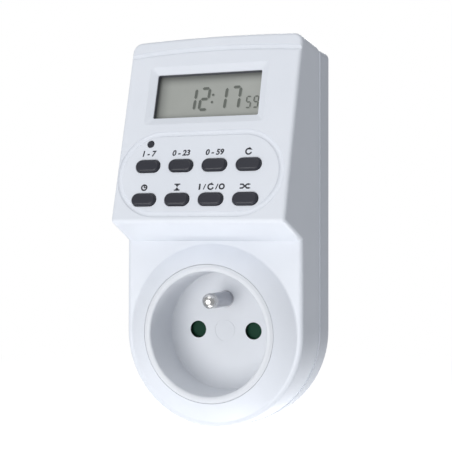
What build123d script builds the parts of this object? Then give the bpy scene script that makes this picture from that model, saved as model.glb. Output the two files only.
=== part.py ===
from build123d import *
import os
from math import atan2, cos, degrees, radians, sin, tan

# Plug-in digital timer switch. Millimetres, +Z up, the control panel faces -Y and the plug points to +Y.
# The origin is the middle of the plug's end face, on the common axis of plug and socket.

# Standard plug and socket sizes
pin_spacing = 19.0
pin_d = 4.8
pin_length = 19.0
pin_tip_round = 2.2
pin_root_step = 0.3
earth_rise = 10.0
socket_hole_d = 5.5
plug_earth_hole_d = 5.5
earth_pin_reach = 15.3

# Depths, counted from the plug's end face towards the panel
boss_length = 17.0
tray_depth = 10.3
floor_lead = 3.6
recess_depth = 15.7
collar_height = 4.4
ledge_depth = 14.0

# Front housing
wall = 2.0
shell_half = 30.2
shell_draft = 3.07
flank_lean = 2.1
ledge_gap = 0.55
ledge_rise = 5.75
panel_tilt = 16.1
crown_rise = 0.8
top_pitch = 9.5
top_corner_r = 3.4
edge_round = 1.3
collar_edge = 1.35
collar_cove_r = 0.8
collar_cove_turn = 39.0
collar_top_drop = 0.35

# Socket cup
cup_wall = 1.1
recess_taper = 0.2
flange_lap = 1.0
flange_t = 2.0
flange_gap = 0.12
barrel_r = 20.4
barrel_gap = 0.2
cup_floor_t = 1.5
skirt_length = 6.2
skirt_t = 1.8
rim_round = 0.7
recess_round = 0.5
gate_mark_r = 3.6
gate_mark_w = 0.5
gate_mark_depth = 0.1
rim_flat = 1.2

# Control panel: everything on it is set out from its lower edge and sits a little left of centre
panel_shift = -1.25
window_w = 35.1
window_h = 14.8
window_gap = 4.6
window_corner_r = 0.5
bevel_w = 2.4
bevel_depth = 1.0
bevel_corner_r = 1.5
window_edge_t = 0.4
groove_edge = 2.15
groove_foot = 2.5
groove_head = 3.1
groove_shift = -0.55
groove_w = 1.8
groove_depth = 0.5
fold_gap = 3.8
fold_drop = 2.92
fold_rise = 1.5
fold_groove_w = 1.9
fold_groove_depth = 0.55

# Keys
key_w = 8.05
key_h = 3.95
key_pitch_share = 0.4158
key_pitch_s = 10.88
key_low_s = 7.2
key_gap = 0.2
key_proud = 1.0
key_round = 0.8
key_travel = 0.8
key_flange_share = 0.35
key_flange_t = 0.9
key_flange_gap = 0.35
key_stem_r = 1.4
key_stem_length = 0.9
key_names = [
    "key_clock", "key_timer", "key_output", "key_random",
    "key_week", "key_hour", "key_minute", "key_recall",
]
reset_hole_d = 2.5
reset_key_d = 2.1
reset_rise = 7.32
reset_sink = 0.15
reset_flange_r = 2.2
reset_dome_r = 1.2

# Display and control board, depths counted inwards from the panel's face
display_depth = 2.9
glass_t = 2.2
glass_lap = 1.4
frame_t = 0.8
frame_gap = 0.2
seat_gap = 0.05
zebra_t = 1.9
zebra_inset = 0.35
board_depth = 9.0
board_t = 1.2
board_side_gap = 0.65
board_low_s = 3.2
board_corner_gap = 0.6
post_r = 1.5
post_inset = 1.7
post_clear = 0.5
post_high_gap = 5.0
post_low_s = 10.0
dome_low_r = 3.2
dome_high_r = 2.1
dome_gap = 0.4
sheet_t = 1.0
sheet_margin_x = 1.0
sheet_margin_s = 0.7
chip_r = 4.6
chip_h = 1.4
chip_round_share = 0.8
chip_x = -4.0
chip_s = 38.0
crystal_r = 1.0
crystal_length = 6.0
crystal_x = 9.0
crystal_s = 36.0

# Rear cover and plug boss
tray_proud = 0.3
tray_corner_r = 2.0
tray_drop = 1.4
tray_wall = 2.2
tray_round = 1.5
lip_t = 1.0
lip_height = 1.5
lip_root = 2.0
lip_gap = 0.25
boss_r = 18.5
boss_wall = 2.0
boss_end_t = 2.6
boss_round = 0.8
clip_notch_w = 8.0
clip_notch_depth = 2.3
guide_notch_w = 5.4
guide_notch_depth = 2.4
clip_slot_h = 2.0
support_r = 1.4
support_angles = [75, 105, 200, 245, 295, 340]

# Screws
case_post_r = 2.4
case_pad_r = 4.2
case_pad_t = 2.0
case_screw_r = 1.45
case_head_r = 2.7
case_head_t = 1.8
case_head_sink = 2.6
case_screw_length = 14.0
case_head_gap = 0.3
case_top_inset = 5.8
case_top_drop = 6.2
case_low_clear = 1.0
case_low_angle = 40
screw_slot_w = 0.8
screw_slot_depth = 0.8
screw_slot_share = 0.7
thread_gap = 0.05
shank_gap = 0.25
small_screw_r = 0.95
small_head_r = 1.9
small_head_t = 1.2
small_screw_length = 4.0
panel_screw_length = 5.0

# Shutter between the cup's floor and its retainer
shutter_gap = 0.3
shutter_t = 2.0
shutter_hub_r = 4.2
pivot_r = 1.9
pivot_gap = 0.05
shutter_arm_reach = 13.2
shutter_arm_half = 3.6
shutter_ramp = 1.2
lug_reach = 6.4
lug_half = 1.1
spring_t = 0.4
spring_eye_r = 1.7
spring_peg_r = 1.0
spring_peg_gap = 0.1
spring_peg_inset = 4.32
spring_peg_angle = 233
spring_tip_x = -1.8
spring_tip_z = -5.2
spring_sag = 0.9
retainer_t = 1.5
retainer_gap = 0.15
retainer_hole_d = 6.2
stake_r = 1.0
stake_inset = 2.6
stake_gap = 0.05
stake_count = 4
stake_first_angle = 40

# Contacts and earth path
contact_gap = 0.1
contact_t = 0.6
contact_length = 10.0
contact_slit = 0.8
contact_slit_length = 7.0
carrier_half_w = 14.6
carrier_half_h = 5.6
carrier_t = 3.9
carrier_fit = 0.1
carrier_corner_r = 2.0
tail_w = 3.0
tail_t = 0.8
tail_gap = 0.3
live_tail_length = 3.0
pin_head_r = 3.6
pin_head_t = 2.0
pin_stub_r = 1.8
pin_stub_length = 3.8
pin_hole_gap = 0.05
link_gap = 0.2
link_r = 3.3
link_t = 0.8
pin_plate_r = 13.0
pin_plate_t = 1.9
pin_plate_gap = 0.1
earth_strip_w = 6.0
earth_strip_t = 0.8
earth_strip_gap = 0.2
clip_lift = 0.5
clip_bow = 0.9
clip_shares = [0, 0.5, 1]
clip_end_gap = 1.6
sleeve_t = 0.6
sleeve_play = 0.1
sleeve_floor = 1.6
sleeve_gap = 0.4

# Power board and what it carries
power_side_gap = 3.1
power_foot = 4.4
power_top_drop = 13.5
power_t = 1.6
power_lift = 1.6
power_post_r = 2.3
power_post_side = 2.8
power_post_inset = 3.2
part_gap = 0.1
relay_w = 15.6
relay_rise = 15.2
relay_h = 19.4
relay_x_share = -0.315
relay_up = 13.0
relay_round = 0.6
film_w = 13.0
film_rise = 11.5
film_h = 6.0
film_x_share = 0.512
film_up = 22.0
film_round = 0.8
can_r = 3.8
can_length = 12.0
can_round = 0.5
can_groove = 0.4
can_groove_w = 0.8
can_groove_inset = 1.6
can_x_share = -0.394
can_up = 37.0
cell_r = 6.0
cell_t = 5.4
cell_rim = 0.8
cell_x_share = 0.374
cell_gap = 5.5
bridge_w = 8.4
bridge_rise = 3.3
bridge_h = 6.6
bridge_x_share = -0.787
bridge_up = 28.0
bridge_notch_r = 0.8
resistor_r = 1.7
resistor_waist = 0.25
resistor_waist_share = 0.6
resistor_length = 9.0
resistor_x_share = 0.571
resistor_up = 13.0
varistor_r = 3.8
varistor_t = 3.4
varistor_round = 1.2
varistor_x_share = 0.827
varistor_up = 31.0
ribbon_w = 8.0
ribbon_t = 0.8
ribbon_x = 5.5
ribbon_s = 7.0
ribbon_up = 4.5
ribbon_sag_up = 1.0
ribbon_lead = 4.0
ribbon_bend_r = 2.0
wire_r = 0.8
wire_gap = 0.15
wire_board_up = 7.0
wire_front_lead = 3.0
wire_lead = 2.2
wire_bend_r = 1.6
riser_lead = 3.0
riser_rise = 1.6
line_pass_x = 10.2
line_pass_z = 10.2
line_riser_x = 13.5
line_board_x = 15.0
load_pass_x = 12.9
load_pass_z = 7.0
load_riser_x = 18.5
load_board_x = 20.0
neutral_joint_lead = 1.8
neutral_pass_x = 12.4
neutral_pass_z = 8.0
neutral_riser_x = 17.0
neutral_board_x = 19.8

# Cuts run this far past the faces they open
cut_over = 1.0

# Positions that follow from the sizes above
plug_face_y = 0.0
rear_y = plug_face_y - boss_length
parting_y = rear_y - tray_depth
floor_y = parting_y - floor_lead
rim_y = floor_y - recess_depth
face_y = rim_y + collar_height
panel_low_y = face_y - ledge_depth
tray_floor_y = rear_y - tray_wall
pin_x = pin_spacing / 2
pin_root_r = pin_d / 2 + pin_root_step
tilt_sin = sin(radians(panel_tilt))
tilt_cos = cos(radians(panel_tilt))
draft_tan = tan(radians(shell_draft))
pitch_tan = tan(radians(top_pitch))
face_half = shell_half - (parting_y - face_y) * draft_tan
panel_half = shell_half - (parting_y - panel_low_y) * draft_tan
panel_inner_half = panel_half - wall
tray_half = shell_half + tray_proud
rim_r = barrel_r - cup_wall
recess_floor_r = rim_r - recess_taper
flange_r = barrel_r + flange_lap
skirt_inner_r = barrel_r - skirt_t
collar_r = face_half - collar_edge
ledge_z = collar_r + ledge_gap
panel_low_z = ledge_z + ledge_rise
flange_seat_y = rim_y + flange_t
cup_back_y = floor_y + cup_floor_t
skirt_end_y = floor_y + skirt_length
shutter_front_y = cup_back_y + shutter_gap
shutter_back_y = shutter_front_y + shutter_t
retainer_front_y = shutter_back_y + shutter_gap
retainer_back_y = retainer_front_y + retainer_t
carrier_front_y = retainer_back_y + seat_gap
carrier_back_y = carrier_front_y + carrier_t
contact_r = pin_d / 2 + contact_gap
contact_back_y = carrier_front_y + contact_length
earth_strip_back_y = tray_floor_y - earth_strip_gap
earth_strip_front_y = earth_strip_back_y - earth_strip_t
pin_head_y = plug_face_y - boss_end_t - pin_head_t
pin_stub_y = pin_head_y - pin_stub_length
power_back_y = tray_floor_y - power_lift
power_front_y = power_back_y - power_t
part_y = power_front_y - part_gap
board_back = board_depth + board_t
frame_front = bevel_depth + window_edge_t + seat_gap
pocket_depth = bevel_depth + window_edge_t
glass_w = window_w + 2 * glass_lap
glass_h = window_h + 2 * glass_lap
frame_w = glass_w + 2 * frame_gap + 2 * frame_t
frame_h = glass_h + 2 * frame_gap + 2 * frame_t
key_flange_top = wall + key_flange_gap
key_flange_low = key_flange_top + key_flange_t
key_bottom = key_flange_low + key_stem_length
dome_top = key_bottom + key_travel + dome_gap
flange_hole_r = flange_r + flange_gap
barrel_hole_r = barrel_r + barrel_gap
cove_sin = sin(radians(collar_cove_turn))
cove_cos = cos(radians(collar_cove_turn))
cove_end_y = face_y - collar_cove_r * (1 - cove_cos)
cove_end_r = collar_r - collar_cove_r * cove_sin
cove_half_sin = sin(radians(collar_cove_turn / 2))
cove_half_cos = cos(radians(collar_cove_turn / 2))
cove_mid_y = face_y - collar_cove_r * (1 - cove_half_cos)
cove_mid_r = collar_r - collar_cove_r * cove_half_sin
bevel_reach = bevel_w * (1 + cut_over / bevel_depth)
groove_r = (groove_w**2 / 4 + groove_depth**2) / (2 * groove_depth)
fold_r = (fold_groove_w**2 / 4 + fold_groove_depth**2) / (2 * fold_groove_depth)
key_pitch_x = panel_inner_half * key_pitch_share
key_flange = (key_pitch_x - key_w) * key_flange_share
reset_s = key_low_s + key_pitch_s + reset_rise
groove_half = panel_half - groove_edge
groove_low = groove_foot
groove_high = reset_s + groove_head
groove_s = (groove_low + groove_high) / 2
groove_half_h = (groove_high - groove_low) / 2
groove_left = groove_shift - groove_half + groove_half_h
groove_right = groove_shift + groove_half - groove_half_h
sheet_top = board_depth - seat_gap - sheet_t
sheet_w = key_pitch_x * (len(key_names) / 2 - 1) + 2 * (dome_low_r + sheet_margin_x)
sheet_low_s = key_low_s - dome_low_r - sheet_margin_s
sheet_high_s = reset_s + reset_dome_r + sheet_margin_s
window_s = sheet_high_s + window_gap + frame_h / 2
frame_low_s = window_s - frame_h / 2
frame_high_s = window_s + frame_h / 2
fold_s = frame_high_s + fold_gap
shoulder_z = panel_low_z + (fold_s + fold_drop) * tilt_cos
crown_z = shoulder_z + crown_rise
tray_shoulder_z = shoulder_z - tray_drop
tray_crown_z = crown_z - tray_drop
board_half = panel_inner_half - board_side_gap
post_x = board_half - post_inset
post_mid_s = (sheet_high_s + frame_low_s) / 2
post_high_s = frame_high_s + post_clear + small_head_r
board_high_s = post_high_s + post_inset
case_seat_y = rear_y - case_head_sink
case_top_x = shell_half - case_top_inset
case_top_z = shoulder_z - case_top_drop
case_low_reach = barrel_hole_r + case_low_clear + case_post_r
post_high_x = case_top_x - case_post_r - post_high_gap
board_corner_w = board_half - case_top_x + case_post_r + board_corner_gap
board_corner_h = board_high_s - (case_top_z - case_post_r - panel_low_z) / tilt_cos + board_corner_gap
stake_reach = skirt_inner_r - stake_inset
spring_peg_x = (skirt_inner_r - spring_peg_inset) * cos(radians(spring_peg_angle))
spring_peg_z = (skirt_inner_r - spring_peg_inset) * sin(radians(spring_peg_angle))
power_half = tray_half - wall - power_side_gap
power_post_x = power_half - power_post_side
power_low_z = ledge_z + power_foot
power_high_z = shoulder_z - power_top_drop
relay_x = power_half * relay_x_share
relay_z = power_low_z + relay_up
film_x = power_half * film_x_share
film_z = power_low_z + film_up
can_x = power_half * can_x_share
can_z = power_low_z + can_up
cell_x = power_half * cell_x_share
cell_z = film_z + film_h / 2 + cell_gap + cell_r
bridge_x = power_half * bridge_x_share
bridge_z = power_low_z + bridge_up
resistor_x = power_half * resistor_x_share
resistor_z = power_low_z + resistor_up
varistor_x = power_half * varistor_x_share
varistor_z = power_low_z + varistor_up
ribbon_z = power_low_z + ribbon_up
ribbon_sag_z = power_low_z + ribbon_sag_up
wire_board_z = power_low_z + wire_board_up
riser_z = barrel_r + riser_rise
lip_half = shell_half - wall - lip_gap
clip_slot_z = boss_r - clip_notch_depth + clip_slot_h / 2
clip_z = boss_r - clip_notch_depth + clip_lift + earth_strip_t / 2
clip_end_y = plug_face_y - clip_end_gap
clip_arm_mid_y = (rear_y + earth_strip_front_y) / 2
support_reach = barrel_r - skirt_t / 2
tail_offset = contact_r + contact_t
pin_plate_back_y = pin_head_y - pin_plate_gap
link_back_y = pin_plate_back_y - pin_plate_t - link_gap
sleeve_r = pin_d / 2 + sleeve_play
sleeve_mouth_y = plug_face_y - boss_end_t - sleeve_gap
dome_taper = degrees(atan2(dome_low_r - dome_high_r, sheet_top - dome_top))
key_first_x = panel_shift - key_pitch_x * (len(key_names) / 2 - 1) / 2


def front_plane(y):
    # Upright plane at depth y that faces the viewer
    return Plane.XZ.offset(-y)


def panel_plane(depth):
    # Plane parallel to the sloped panel, depth inwards of its face, origin on the panel's lower edge
    return Plane(
        origin=(0, panel_low_y, panel_low_z), x_dir=(1, 0, 0), z_dir=(0, -tilt_cos, tilt_sin)
    ).offset(-depth)


def half_at(y):
    # Half width of the drafted front housing at depth y
    return shell_half - (parting_y - y) * draft_tan


def rise_at(y):
    # Height that the front housing's top has gained at depth y
    return (parting_y - y) * pitch_tan


def panel_y_at(z):
    # Depth of the panel's face at height z
    return panel_low_y + (z - panel_low_z) * tan(radians(panel_tilt))


def outline(half, shoulder, crown, corner_r, lean=0):
    # Front view of the case: flanks that lean in towards the top, half round foot, slightly arched top
    top_half = half - lean
    with BuildLine() as edge:
        for side in (-1, 1):
            if lean:
                TangentArc((side * half, 0), (side * top_half, shoulder), tangent=(0, 1))
            else:
                Line((side * half, 0), (side * half, shoulder))
        ThreePointArc((-top_half, shoulder), (0, crown), (top_half, shoulder))
        ThreePointArc((half, 0), (0, -half), (-half, 0))
        fillet(edge.vertices().group_by(Axis.Y)[-1], corner_r)
    return edge.edges()


def side_view(back_y):
    # Side view of the front housing: upright face, ledge and sloped panel
    reach = shell_half + wall + cut_over
    top = crown_z + rise_at(panel_low_y) + wall + cut_over
    with BuildLine() as edge:
        Polyline(
            (back_y, -reach),
            (face_y, -reach),
            (face_y, ledge_z),
            (panel_low_y, panel_low_z),
            (panel_y_at(top), top),
            (back_y, top),
            close=True,
        )
    return edge.edges()


def key_spots():
    # Key centres on the panel, lower row first
    columns = len(key_names) // 2
    return [
        (key_first_x + key_pitch_x * (index % columns), key_low_s + key_pitch_s * (index // columns))
        for index in range(len(key_names))
    ]


def case_spots():
    # Screw centres of the case in front view
    low_x = case_low_reach * cos(radians(case_low_angle))
    low_z = -case_low_reach * sin(radians(case_low_angle))
    return [(-case_top_x, case_top_z), (case_top_x, case_top_z), (-low_x, low_z), (low_x, low_z)]


def panel_post_spots():
    # Screw posts that carry the control board, on the panel
    return [
        (-post_high_x, post_high_s), (post_high_x, post_high_s), (-post_x, post_mid_s), (post_x, post_low_s)
    ]


def power_post_spots():
    # Screw posts that carry the power board, in front view
    low = power_low_z + power_post_inset
    high = power_high_z - power_post_inset
    return [(-power_post_x, low), (power_post_x, low), (-power_post_x, high), (power_post_x, high)]


def panel_point(x, s, depth):
    # Point on the panel's grid, depth inwards of its face
    return panel_plane(depth).from_local_coords((x, s, 0))


def leaf_point(share, side):
    # Ends of the two long edges of the leaf spring, share 0 at the eye and 1 at the tip
    peg = Vector(spring_peg_x, spring_peg_z)
    tip = Vector(spring_tip_x, spring_tip_z)
    way = (tip - peg).normalized()
    start = peg + way * (spring_peg_r + spring_peg_gap + spring_eye_r) / 2
    across = Vector(-way.Y, way.X)
    return start + (tip - start) * share + across * side * spring_t / 2


def clip_point(share, edge, side):
    # Long edges of a bowed side clip, share 0 at the rear wall and 1 at the free end
    bow = clip_bow * 4 * share * (1 - share)
    return (rear_y + (clip_end_y - rear_y) * share, side * (clip_z + bow + edge * earth_strip_t / 2))


os.makedirs("parts", exist_ok=True)


def save(piece, name):
    piece.label = name
    export_step(piece, f"parts/{name}.step")


# Ends and courses of the cables
crystal_plane = Plane(
    origin=panel_point(crystal_x, crystal_s, board_back + crystal_r + part_gap), z_dir=(1, 0, 0)
)
ribbon_foot = panel_point(ribbon_x, ribbon_s, board_back + ribbon_t)
ribbon_end_y = power_front_y - ribbon_t
ribbon_points = [
    (ribbon_foot.Y, ribbon_foot.Z),
    (ribbon_foot.Y + ribbon_lead * tilt_cos, ribbon_foot.Z - ribbon_lead * tilt_sin),
    ((ribbon_foot.Y + ribbon_end_y) / 2, ribbon_sag_z),
    (ribbon_end_y - ribbon_lead, ribbon_z),
    (ribbon_end_y, ribbon_z),
]
wire_front_y = power_front_y - wire_front_lead
riser_y = tray_floor_y - riser_lead
line_lead_y = pin_stub_y - wire_lead
load_lead_y = contact_back_y + live_tail_length + wire_lead
neutral_joint_y = contact_back_y + neutral_joint_lead


def riser(x_low, x_high):
    # Common course of a mains wire above the cup, up to its solder point on the power board
    return [
        (x_low, riser_y, riser_z),
        (x_high, wire_front_y, power_low_z),
        (x_high, wire_front_y, wire_board_z),
        (x_high, power_front_y - wire_gap, wire_board_z),
    ]


wire_courses = {
    "line_wire": [
        (pin_x, pin_stub_y - wire_gap, 0),
        (pin_x, line_lead_y, 0),
        (line_pass_x, line_lead_y, line_pass_z),
        (line_pass_x, riser_y, line_pass_z),
        *riser(line_riser_x, line_board_x),
    ],
    "load_wire": [
        (pin_x + tail_offset, contact_back_y + live_tail_length + wire_gap, 0),
        (pin_x + tail_offset, load_lead_y, 0),
        (load_pass_x, load_lead_y, load_pass_z),
        (load_pass_x, riser_y, load_pass_z),
        *riser(load_riser_x, load_board_x),
    ],
    "neutral_wire": [
        (-pin_x - tail_offset, neutral_joint_y, tail_w / 2 + wire_gap),
        (-neutral_pass_x, neutral_joint_y, neutral_pass_z),
        (-neutral_pass_x, riser_y, neutral_pass_z),
        *riser(-neutral_riser_x, -neutral_board_x),
    ],
}

# Room inside the front housing
with BuildPart() as shell_room:
    for y, lean in ((parting_y + cut_over, 0), (panel_low_y, flank_lean)):
        with BuildSketch(front_plane(y)):
            shoulder = shoulder_z + rise_at(y) - wall
            make_face(outline(half_at(y) - wall, shoulder, shoulder + crown_rise, top_corner_r, lean))
    loft(ruled=True)
    with BuildSketch(Plane.YZ) as room_side:
        make_face(side_view(parting_y + cut_over + wall))
        offset(amount=-wall, kind=Kind.INTERSECTION, mode=Mode.REPLACE)
    extrude(amount=shell_half, both=True, mode=Mode.INTERSECT)

# Front housing: moulded shell with the panel, the ledge and the socket collar
with BuildPart() as front_housing:
    for y, lean in ((parting_y, 0), (panel_low_y - cut_over, flank_lean)):
        with BuildSketch(front_plane(y)):
            shoulder = shoulder_z + rise_at(y)
            make_face(outline(half_at(y), shoulder, shoulder + crown_rise, top_corner_r, lean))
    loft(ruled=True)
    with BuildSketch(Plane.YZ):
        make_face(side_view(parting_y))
    extrude(amount=shell_half + cut_over, both=True, mode=Mode.INTERSECT)
    front_edges = front_housing.edges().filter_by(lambda e: e.bounding_box().max.Y < parting_y - edge_round)
    hollow_edge = front_edges.sort_by_distance(Vector(0, face_y, ledge_z))[0]
    fillet([e for e in front_edges if e is not hollow_edge], edge_round)
    add(shell_room.part, mode=Mode.SUBTRACT)
    # Collar with the seat of the cup's flange
    with BuildSketch(Plane.YZ):
        with BuildLine():
            foot = Line((face_y + wall, collar_r), (face_y, collar_r))
            cove = ThreePointArc(foot @ 1, (cove_mid_y, cove_mid_r), (cove_end_y, cove_end_r))
            back = TangentArc(cove @ 1, (rim_y + collar_top_drop, flange_hole_r), tangent=cove % 1)
            Polyline(
                back @ 1,
                (flange_seat_y, flange_hole_r),
                (flange_seat_y, barrel_hole_r),
                (face_y + wall, barrel_hole_r),
                foot @ 0,
            )
        make_face()
    revolve(axis=Axis.Y)
    with BuildSketch(front_plane(face_y - cut_over)):
        Circle(barrel_hole_r)
    extrude(amount=-(wall + 2 * cut_over), mode=Mode.SUBTRACT)
    # Bevelled display window, with a pocket for the display frame behind it
    with BuildSketch(panel_plane(-cut_over)):
        with Locations((panel_shift, window_s)):
            RectangleRounded(window_w + 2 * bevel_reach, window_h + 2 * bevel_reach, bevel_corner_r)
    with BuildSketch(panel_plane(bevel_depth)):
        with Locations((panel_shift, window_s)):
            RectangleRounded(window_w, window_h, window_corner_r)
    loft(ruled=True, mode=Mode.SUBTRACT)
    with BuildSketch(panel_plane(0)):
        with Locations((panel_shift, window_s)):
            RectangleRounded(window_w, window_h, window_corner_r)
    extrude(amount=-(wall + cut_over), mode=Mode.SUBTRACT)
    with BuildSketch(panel_plane(pocket_depth)):
        with Locations((panel_shift, window_s)):
            Rectangle(frame_w + 2 * frame_gap, frame_h + 2 * frame_gap)
    extrude(amount=-(wall - pocket_depth + cut_over), mode=Mode.SUBTRACT)
    # Key holes and reset hole
    with BuildSketch(panel_plane(-cut_over)):
        with Locations(key_spots()):
            SlotOverall(key_w + 2 * key_gap, key_h + 2 * key_gap)
        with Locations((key_first_x, reset_s)):
            Circle(reset_hole_d / 2)
    extrude(amount=-(wall + 2 * cut_over), mode=Mode.SUBTRACT)
    # Rounded groove that rings the keypad
    with BuildLine(panel_plane(groove_depth - groove_r)) as keypad_ring:
        Line((groove_left, groove_low), (groove_right, groove_low))
        ThreePointArc(
            (groove_right, groove_low), (groove_right + groove_half_h, groove_s), (groove_right, groove_high)
        )
        Line((groove_right, groove_high), (groove_left, groove_high))
        ThreePointArc(
            (groove_left, groove_high), (groove_left - groove_half_h, groove_s), (groove_left, groove_low)
        )
    with BuildSketch(Plane(origin=keypad_ring.line @ 0, z_dir=keypad_ring.line % 0)):
        Circle(groove_r)
    sweep(path=keypad_ring.wire(), mode=Mode.SUBTRACT)
    # Fine arched groove that sets off the strip above the panel
    with BuildLine(panel_plane(fold_groove_depth - fold_r)) as fold_line:
        ThreePointArc((-shell_half, fold_s), (0, fold_s + fold_rise), (shell_half, fold_s))
    with BuildSketch(Plane(origin=fold_line.line @ 0, z_dir=fold_line.line % 0)):
        Circle(fold_r)
    sweep(path=fold_line.wire(), mode=Mode.SUBTRACT)
    # Posts for the control board
    with BuildSketch(panel_plane(board_depth - seat_gap)):
        with Locations(panel_post_spots()):
            Circle(post_r)
    extrude(amount=board_depth - seat_gap - wall / 2)
    with BuildSketch(panel_plane(board_depth)):
        with Locations(panel_post_spots()):
            Circle(small_screw_r + thread_gap)
    extrude(amount=panel_screw_length, mode=Mode.SUBTRACT)
    # Posts for the case screws
    with BuildSketch(front_plane(parting_y)):
        with Locations(case_spots()[:2]):
            Circle(case_post_r)
    extrude(amount=parting_y - panel_y_at(case_top_z) - wall / 2)
    with BuildSketch(front_plane(parting_y)):
        with Locations(case_spots()[2:]):
            Circle(case_post_r)
    extrude(amount=parting_y - face_y - wall / 2)
    with BuildSketch(front_plane(parting_y + cut_over)):
        with Locations(case_spots()):
            Circle(case_screw_r + thread_gap)
    extrude(amount=case_screw_length + parting_y - case_seat_y + 2 * cut_over, mode=Mode.SUBTRACT)

save(front_housing.part, "front_housing")

# Rear cover: tray with the plug boss, its notches and the screw wells
with BuildPart() as rear_cover:
    with BuildSketch(front_plane(rear_y)):
        make_face(outline(tray_half, tray_shoulder_z, tray_crown_z, tray_corner_r))
    extrude(amount=tray_depth)
    fillet(rear_cover.faces().sort_by(Axis.Y)[-1].edges(), tray_round)
    with BuildSketch(front_plane(tray_floor_y)):
        make_face(outline(tray_half - wall, tray_shoulder_z - wall, tray_crown_z - wall, tray_corner_r))
    extrude(amount=tray_depth, mode=Mode.SUBTRACT)
    # Lip that enters the front housing
    with BuildSketch(front_plane(parting_y + lip_root)):
        make_face(outline(lip_half, shoulder_z - wall - lip_gap, crown_z - wall - lip_gap, top_corner_r))
        offset(amount=-lip_t, mode=Mode.SUBTRACT)
    extrude(amount=lip_root + lip_height)
    with BuildSketch(front_plane(parting_y)):
        with Locations(case_spots()):
            Circle(case_post_r + lip_gap)
    extrude(amount=lip_height, mode=Mode.SUBTRACT)
    # Plug boss, hollow behind its end wall
    with BuildSketch(front_plane(tray_floor_y)):
        Circle(boss_r)
        with Locations((0, boss_r), (0, -boss_r)):
            Rectangle(clip_notch_w, 2 * clip_notch_depth, mode=Mode.SUBTRACT)
        with Locations((boss_r, 0), (-boss_r, 0)):
            Rectangle(2 * guide_notch_depth, guide_notch_w, mode=Mode.SUBTRACT)
    extrude(amount=-(tray_wall + boss_length))
    fillet(rear_cover.faces().sort_by(Axis.Y)[-1].edges(), boss_round)
    with BuildSketch(front_plane(plug_face_y - boss_end_t)):
        Circle(boss_r - boss_wall)
        with Locations((0, boss_r), (0, -boss_r)):
            Rectangle(clip_notch_w + 2 * boss_wall, 2 * (clip_notch_depth + boss_wall), mode=Mode.SUBTRACT)
        with Locations((boss_r, 0), (-boss_r, 0)):
            Rectangle(2 * (guide_notch_depth + boss_wall), guide_notch_w + 2 * boss_wall, mode=Mode.SUBTRACT)
    extrude(amount=boss_length + tray_wall - boss_end_t + cut_over, mode=Mode.SUBTRACT)
    # Pin holes, earth hole and the slots of the earth clips
    with BuildSketch(front_plane(plug_face_y + cut_over)):
        with Locations((-pin_x, 0), (pin_x, 0)):
            Circle(pin_root_r + pin_hole_gap)
        with Locations((0, earth_rise)):
            Circle(plug_earth_hole_d / 2)
    extrude(amount=boss_end_t + 2 * cut_over, mode=Mode.SUBTRACT)
    with BuildSketch(front_plane(rear_y + cut_over)):
        with Locations((0, clip_slot_z), (0, -clip_slot_z)):
            Rectangle(clip_notch_w, clip_slot_h)
    extrude(amount=tray_wall + 2 * cut_over, mode=Mode.SUBTRACT)
    # Posts under the power board
    with BuildSketch(front_plane(tray_floor_y)):
        with Locations(power_post_spots()):
            Circle(power_post_r)
    extrude(amount=power_lift - seat_gap)
    with BuildSketch(front_plane(power_back_y)):
        with Locations(power_post_spots()):
            Circle(small_screw_r + thread_gap)
    extrude(amount=-(small_screw_length - power_t + thread_gap), mode=Mode.SUBTRACT)
    # Posts that hold the cup in its seat
    with BuildSketch(front_plane(tray_floor_y)):
        for angle in support_angles:
            with Locations((support_reach * cos(radians(angle)), support_reach * sin(radians(angle)))):
                Circle(support_r)
    extrude(amount=tray_floor_y - skirt_end_y - seat_gap)
    # Wells and posts of the case screws
    with BuildSketch(front_plane(tray_floor_y)):
        with Locations(case_spots()):
            Circle(case_pad_r)
    extrude(amount=case_pad_t)
    with BuildSketch(front_plane(tray_floor_y)):
        with Locations(case_spots()):
            Circle(case_post_r)
    extrude(amount=tray_depth - tray_wall - seat_gap)
    with BuildSketch(front_plane(rear_y)):
        with Locations(case_spots()):
            Circle(case_screw_r + shank_gap)
    extrude(amount=tray_depth + cut_over, mode=Mode.SUBTRACT)
    with BuildSketch(front_plane(rear_y + cut_over)):
        with Locations(case_spots()):
            Circle(case_head_r + case_head_gap)
    extrude(amount=case_head_sink + cut_over, mode=Mode.SUBTRACT)

save(rear_cover.part, "rear_cover")

# Case screws, driven from behind
with BuildPart() as case_screws:
    with BuildSketch(front_plane(case_seat_y + seat_gap)):
        with Locations(case_spots()):
            Circle(case_screw_r)
    extrude(amount=case_screw_length)
    with BuildSketch(front_plane(case_seat_y + seat_gap)):
        with Locations(case_spots()):
            Circle(case_head_r)
    extrude(amount=-case_head_t)
    with BuildSketch(front_plane(case_seat_y + seat_gap + case_head_t)):
        with Locations(case_spots()):
            Rectangle(2 * case_head_r * screw_slot_share, screw_slot_w)
            Rectangle(screw_slot_w, 2 * case_head_r * screw_slot_share)
    extrude(amount=screw_slot_depth, mode=Mode.SUBTRACT)

save(case_screws.part, "case_screws")

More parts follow.
